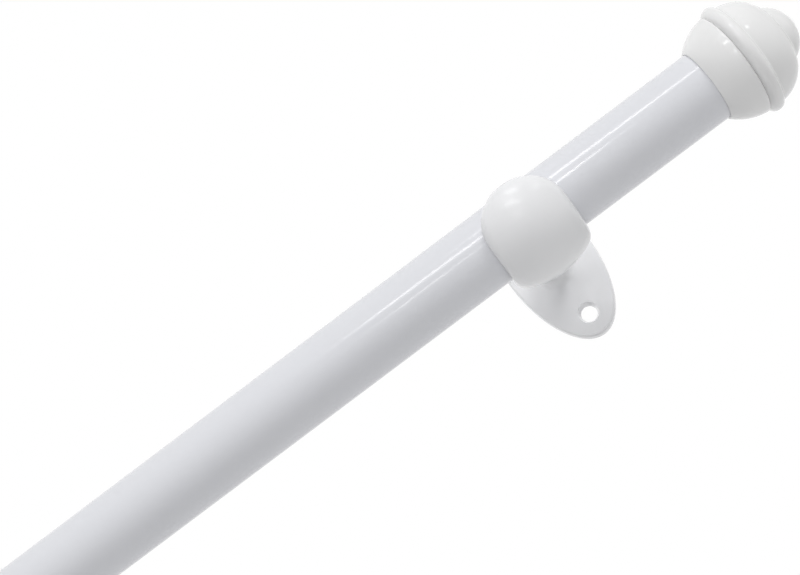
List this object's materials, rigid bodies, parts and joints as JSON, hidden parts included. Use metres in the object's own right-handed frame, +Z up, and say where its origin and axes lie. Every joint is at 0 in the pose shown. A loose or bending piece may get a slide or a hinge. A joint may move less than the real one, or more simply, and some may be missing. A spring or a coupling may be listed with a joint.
{
  "type": "curtain rod with brackets",
  "caption": "White steel curtain tube lying in open-topped hook brackets on oval wall plates, with ball-and-nose finials pushed over its ends.",
  "frame": {"origin": "middle of the right bracket's back face, on the wall, level with the rod's axis", "axes": "+X along the rod towards the right finial, -Y away from the wall into the room, +Z up"},
  "size_m": [0.8252, 0.0538, 0.0506],
  "materials": {
    "tube_paint": "gloss white paint",
    "bracket_plastic": "semi-gloss white moulding",
    "finial_plastic": "semi-gloss white moulding"
  },
  "bodies": {
    "right_bracket": {"right_bracket": "bracket_plastic"},
    "left_bracket": {"left_bracket": "bracket_plastic"},
    "rod": {"rod_tube": "tube_paint"},
    "right_finial": {"right_finial_socket": "finial_plastic", "right_finial_cap": "finial_plastic"},
    "left_finial": {"left_finial_socket": "finial_plastic", "left_finial_cap": "finial_plastic"}
  },
  "joints": [
    {"name": "rod_lift", "type": "slide", "parent": "right_bracket", "child": "rod", "axis": [0, 0, 1], "range_m": [0, 0.03]},
    {"name": "left_bracket_slide", "type": "slide", "parent": "right_bracket", "child": "left_bracket", "axis": [1, 0, 0], "range_m": [-0.04, 0.3]},
    {"name": "right_finial_pull", "type": "slide", "parent": "rod", "child": "right_finial", "axis": [1, 0, 0], "range_m": [0, 0.03]},
    {"name": "left_finial_pull", "type": "slide", "parent": "rod", "child": "left_finial", "axis": [-1, 0, 0], "range_m": [0, 0.03]}
  ]
}
